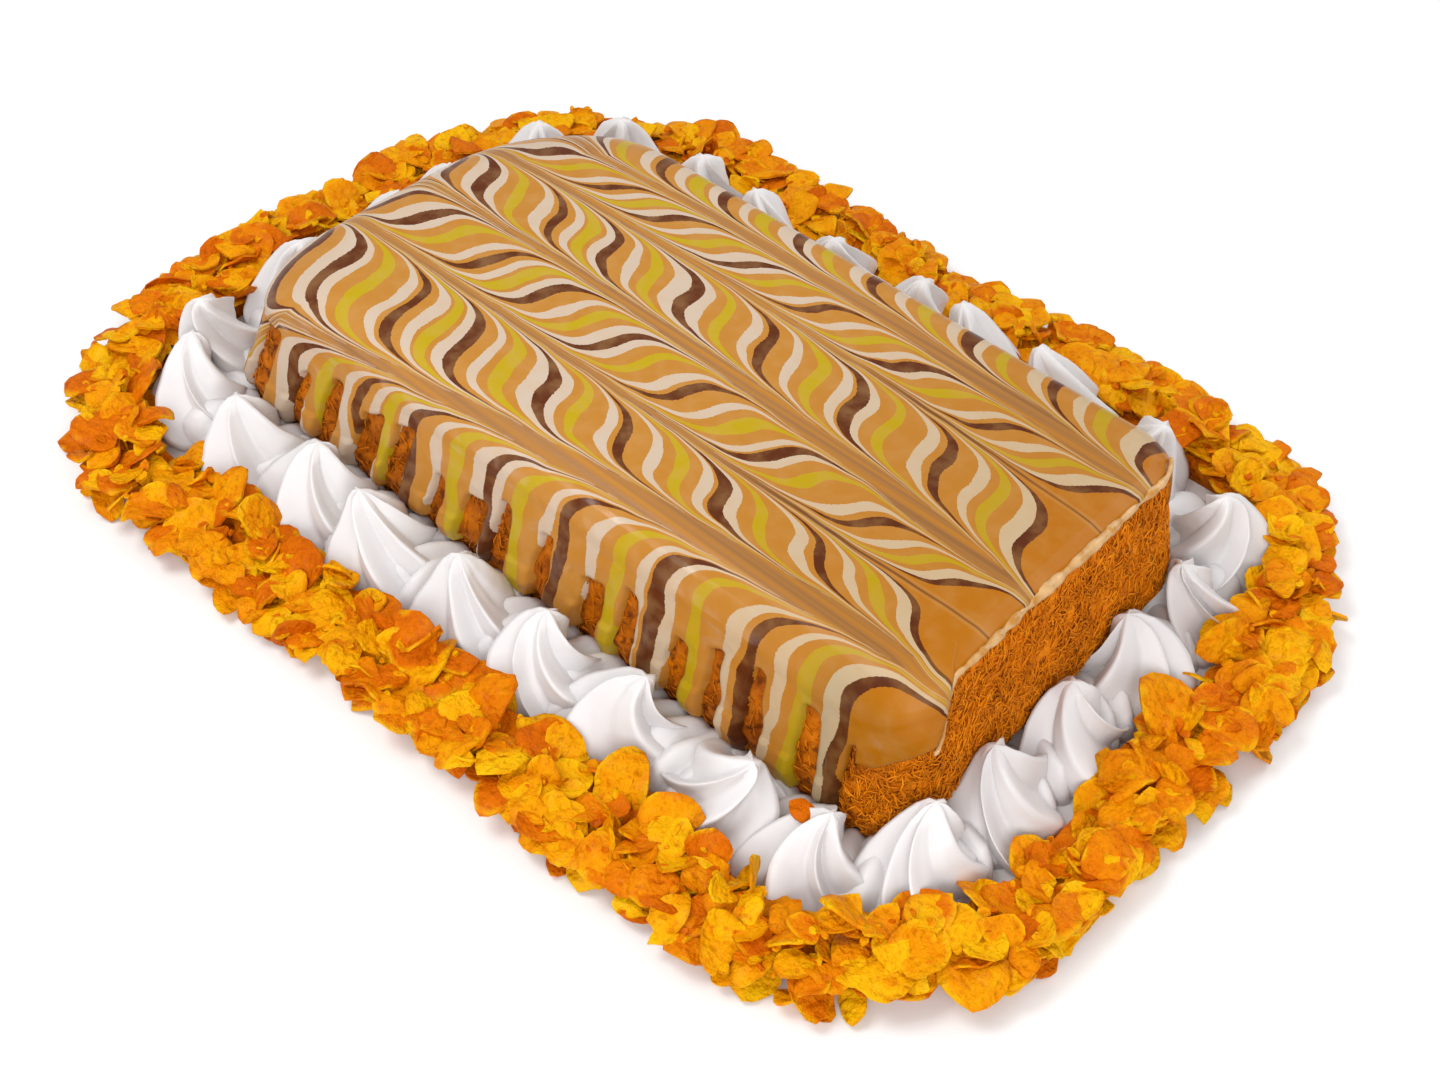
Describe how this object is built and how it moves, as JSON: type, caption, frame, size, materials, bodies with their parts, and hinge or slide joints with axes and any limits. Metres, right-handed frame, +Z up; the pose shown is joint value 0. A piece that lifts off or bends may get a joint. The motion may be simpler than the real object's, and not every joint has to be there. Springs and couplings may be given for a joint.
{
  "type": "kunafa cake",
  "caption": "Baked bar of shredded pastry under poured marbled icing, bordered by piped cream stars and a bank of glazed cornflakes.",
  "frame": {"origin": "the middle of the pastry bar's foot, on the surface that it stands on", "axes": "+X along the bar, to the cut end where the pastry is bare; -Y to the front; +Z up"},
  "size_m": [0.3973, 0.2834, 0.0607],
  "materials": {
    "pastry": "matte",
    "icing": "gloss",
    "cream": "satin",
    "cornflake": "satin"
  },
  "bodies": {
    "root": {"kunafa": "pastry", "icing": "icing", "cream_star_01": "cream", "cream_star_02": "cream", "cream_star_03": "cream", "cream_star_04": "cream", "cream_star_05": "cream", "cream_star_06": "cream", "cream_star_07": "cream", "cream_star_08": "cream", "cream_star_09": "cream", "cream_star_10": "cream", "cream_star_11": "cream", "cream_star_12": "cream", "cream_star_13": "cream", "cream_star_14": "cream", "cream_star_15": "cream", "cream_star_16": "cream", "cream_star_17": "cream", "cream_star_18": "cream", "cream_star_19": "cream", "cream_star_20": "cream", "cream_star_21": "cream", "cream_star_22": "cream", "cream_star_23": "cream", "cream_star_24": "cream", "cream_star_25": "cream", "cream_star_26": "cream", "cream_star_27": "cream", "cream_star_28": "cream", "cornflakes": "cornflake"}
  },
  "joints": []
}
